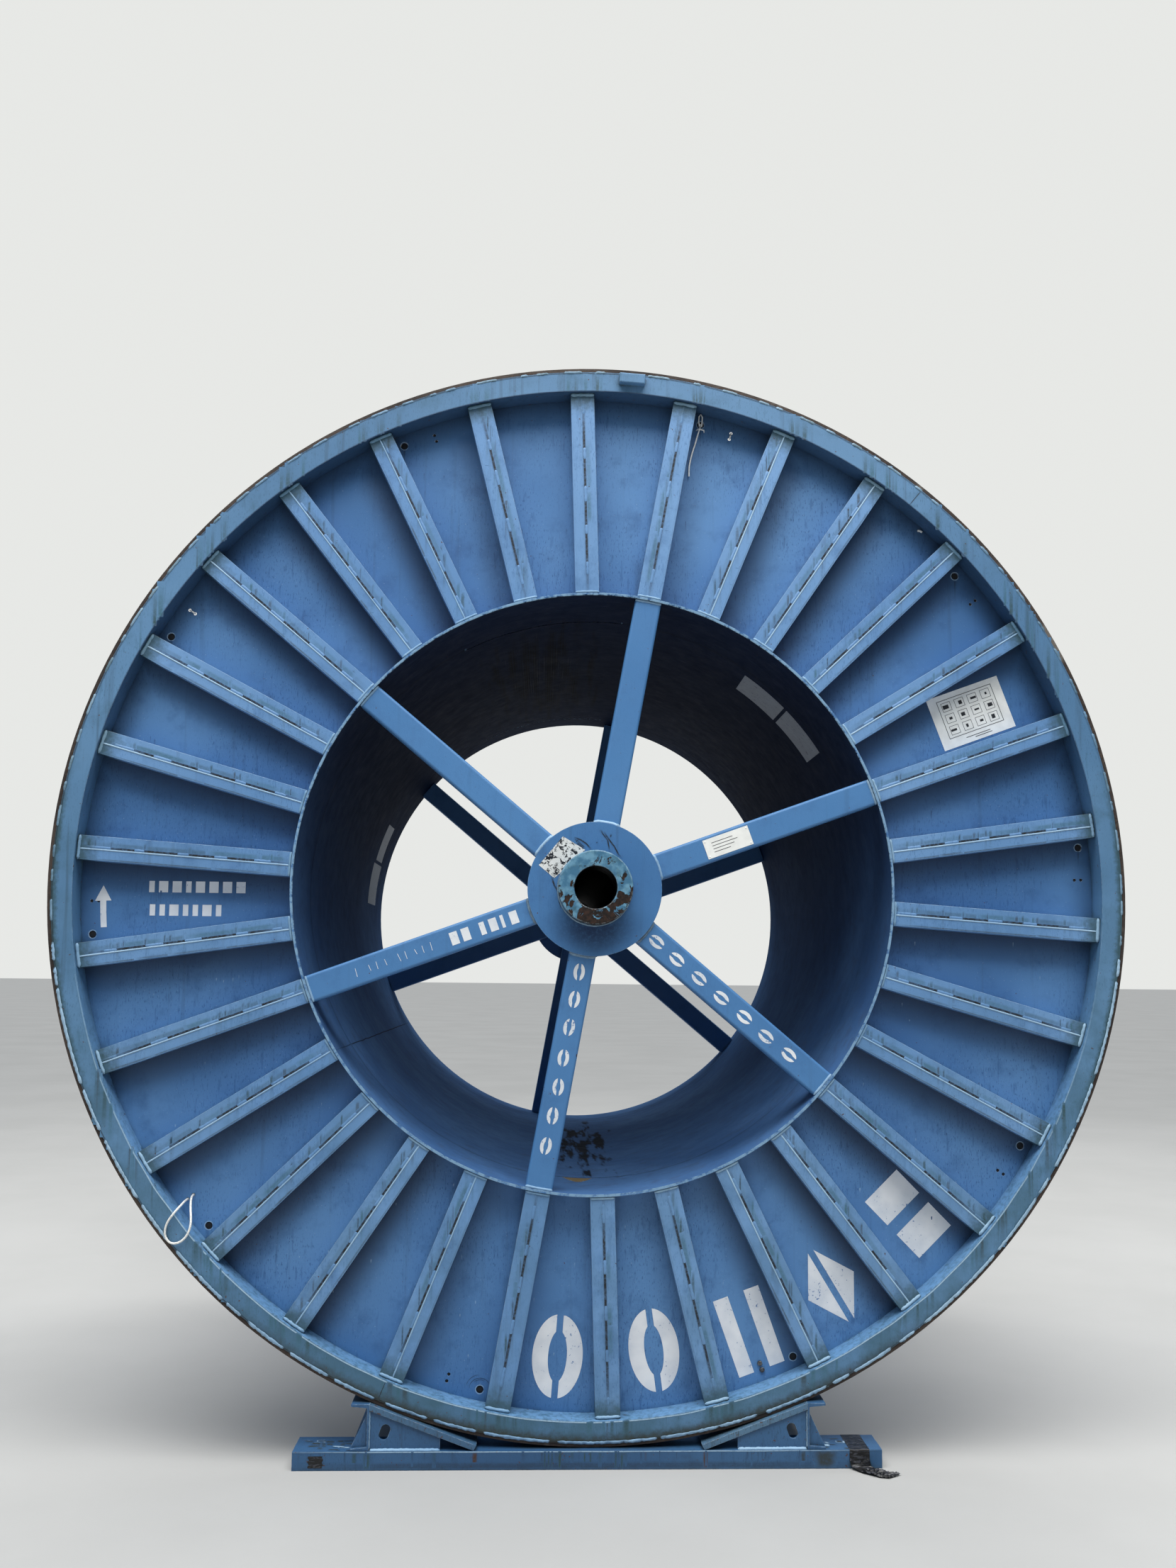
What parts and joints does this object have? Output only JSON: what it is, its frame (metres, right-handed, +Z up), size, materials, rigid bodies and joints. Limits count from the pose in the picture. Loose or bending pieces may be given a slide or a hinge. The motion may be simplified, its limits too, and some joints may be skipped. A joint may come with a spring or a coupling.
{
  "type": "steel cable drum on cradle",
  "caption": "Welded steel cable drum with sheeted, spoked flanges and an open barrel, resting in a low channel-section cradle. Holds wound cable.",
  "frame": {"origin": "middle of the ground under the drum", "axes": "+Z up, the drum's axis along Y, front flange towards -Y"},
  "size_m": [3.9998, 2.994, 4.0679],
  "materials": {
    "blue_paint": "weathered satin blue paint",
    "sheet_paint": "weathered blue paint",
    "barrel_paint": "dusty blue paint",
    "cradle_paint": "weathered blue paint",
    "flaking_paint": "flaking paint over rust",
    "rusty_band": "rusty rolled steel",
    "white_cord": "braided white cord"
  },
  "bodies": {
    "root": {"barrel": "barrel_paint", "front_base_beam": "cradle_paint", "front_flange_sheet": "sheet_paint", "front_gussets": "cradle_paint", "front_hub_arms": "blue_paint", "front_hub_bush": "flaking_paint", "front_hub_disc": "blue_paint", "front_lower_spoke_channels": "blue_paint", "front_ramp_webs": "cradle_paint", "front_ramps": "cradle_paint", "front_rim": "blue_paint", "front_running_band": "rusty_band", "front_upper_spoke_channels": "blue_paint", "left_side_channel": "cradle_paint", "rear_base_beam": "cradle_paint", "rear_flange_sheet": "sheet_paint", "rear_gussets": "cradle_paint", "rear_hub_arms": "blue_paint", "rear_hub_bush": "flaking_paint", "rear_hub_disc": "blue_paint", "rear_lower_spoke_channels": "blue_paint", "rear_ramp_webs": "cradle_paint", "rear_ramps": "cradle_paint", "rear_rim": "blue_paint", "rear_running_band": "rusty_band", "rear_upper_spoke_channels": "blue_paint", "right_side_channel": "cradle_paint", "rim_block": "blue_paint", "spindle_pipe": "barrel_paint", "strap_tail": "white_cord", "strap_tail_knot": "white_cord", "tie_cord": "white_cord", "tie_cord_knot": "white_cord"}
  },
  "joints": []
}
